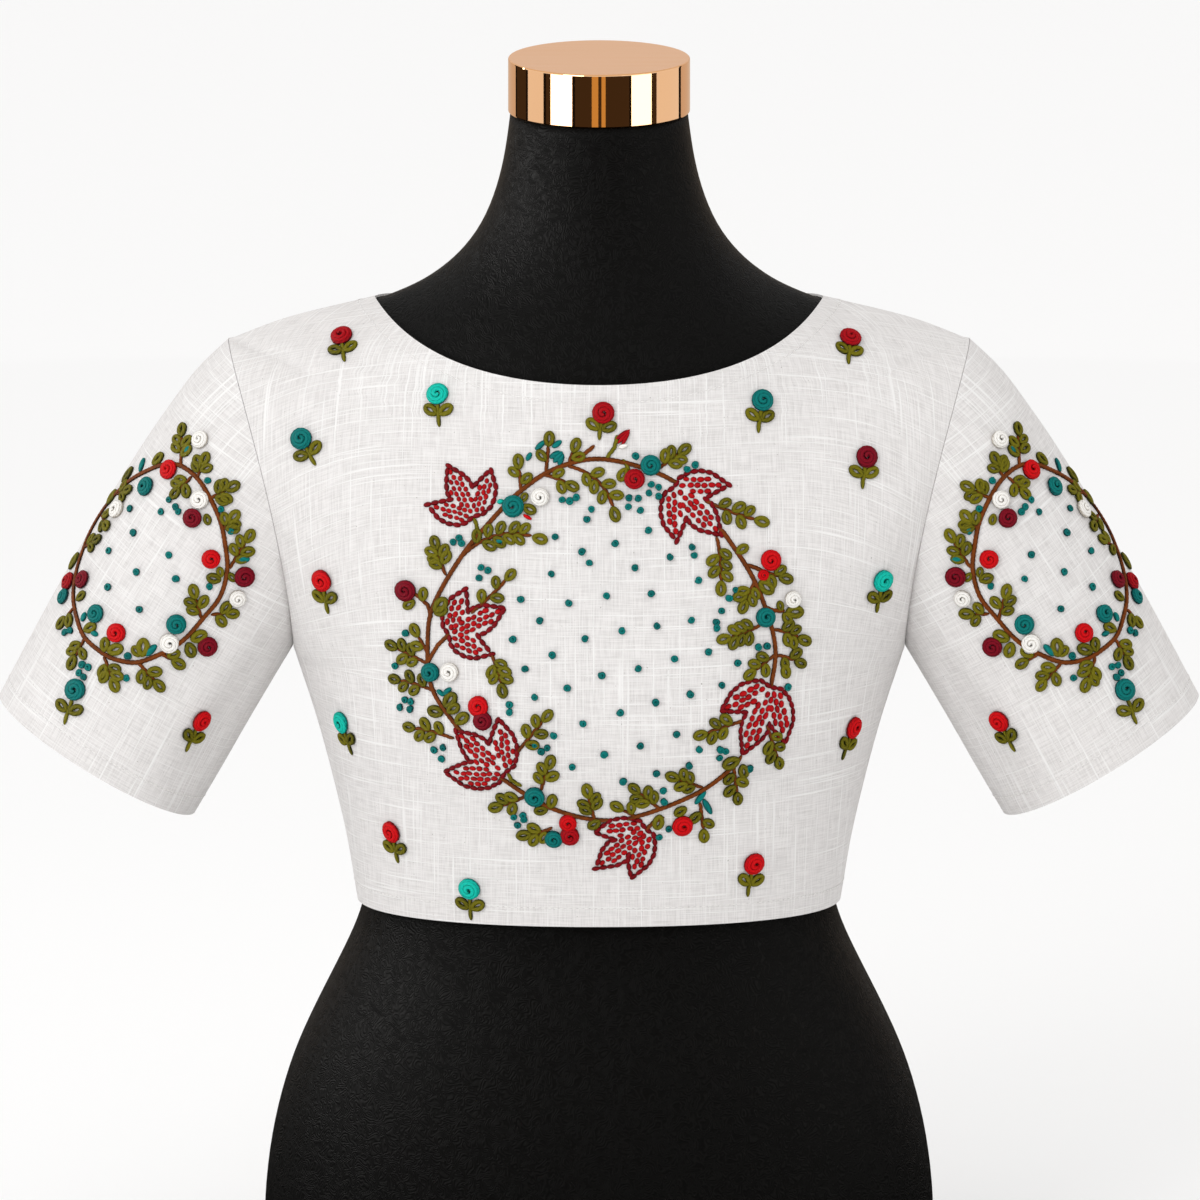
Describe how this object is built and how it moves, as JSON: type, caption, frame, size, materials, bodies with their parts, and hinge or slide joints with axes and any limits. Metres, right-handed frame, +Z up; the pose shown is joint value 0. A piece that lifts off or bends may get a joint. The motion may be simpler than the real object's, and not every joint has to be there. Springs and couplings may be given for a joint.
{
  "type": "embroidered blouse on a dress form",
  "caption": "Short-sleeved cropped linen blouse with raised floral thread embroidery, worn by a limbless padded dress form with a polished neck cap.",
  "frame": {"origin": "centre of the dress form's flat foot, on the surface that it stands on", "axes": "+Z up, the front of the blouse faces -Y, and the wearer's left is at +X"},
  "size_m": [0.66, 0.2495, 0.6977],
  "materials": {
    "white_linen": "matte",
    "black_leatherette": "satin",
    "rose_gold": "polished",
    "leaf_thread": "satin",
    "flower_thread": "satin"
  },
  "bodies": {
    "root": {"blouse_front": "white_linen", "blouse_back_left": "white_linen", "blouse_back_right": "white_linen", "back_lap": "white_linen", "sleeve_left": "white_linen", "sleeve_right": "white_linen", "dress_form": "black_leatherette", "neck_cap": "rose_gold"}
  },
  "joints": []
}
